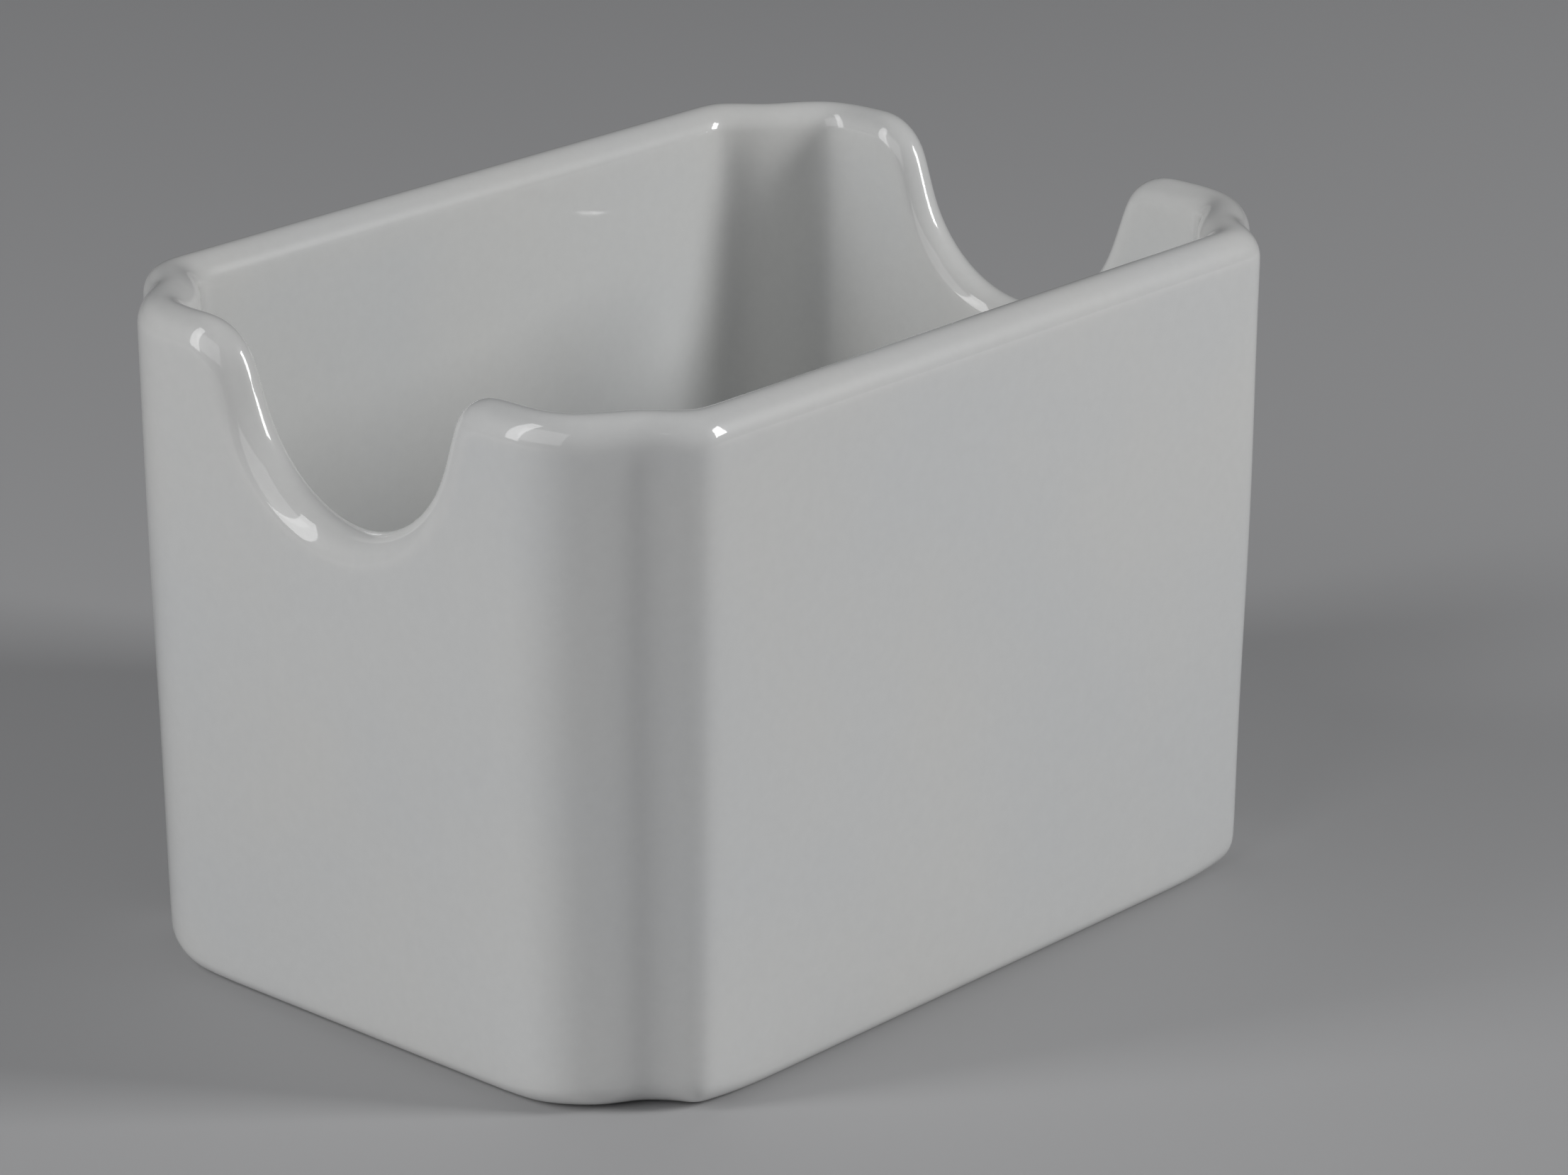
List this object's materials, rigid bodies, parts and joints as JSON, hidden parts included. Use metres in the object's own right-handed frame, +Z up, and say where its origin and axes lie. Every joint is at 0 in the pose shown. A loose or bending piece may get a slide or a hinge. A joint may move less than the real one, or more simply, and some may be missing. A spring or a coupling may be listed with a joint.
{
  "type": "sugar packet holder",
  "caption": "White glazed china sugar packet holder: an oblong open well with fluted corners and a rounded dip in each short wall.",
  "frame": {"origin": "centre of the foot, on the surface the holder stands on", "axes": "+X along the long side, through the dips in the short walls; +Y across; +Z up"},
  "size_m": [0.0952, 0.0698, 0.0635],
  "materials": {
    "glaze": "gloss white glaze"
  },
  "bodies": {
    "root": {"holder_body": "glaze"}
  },
  "joints": []
}
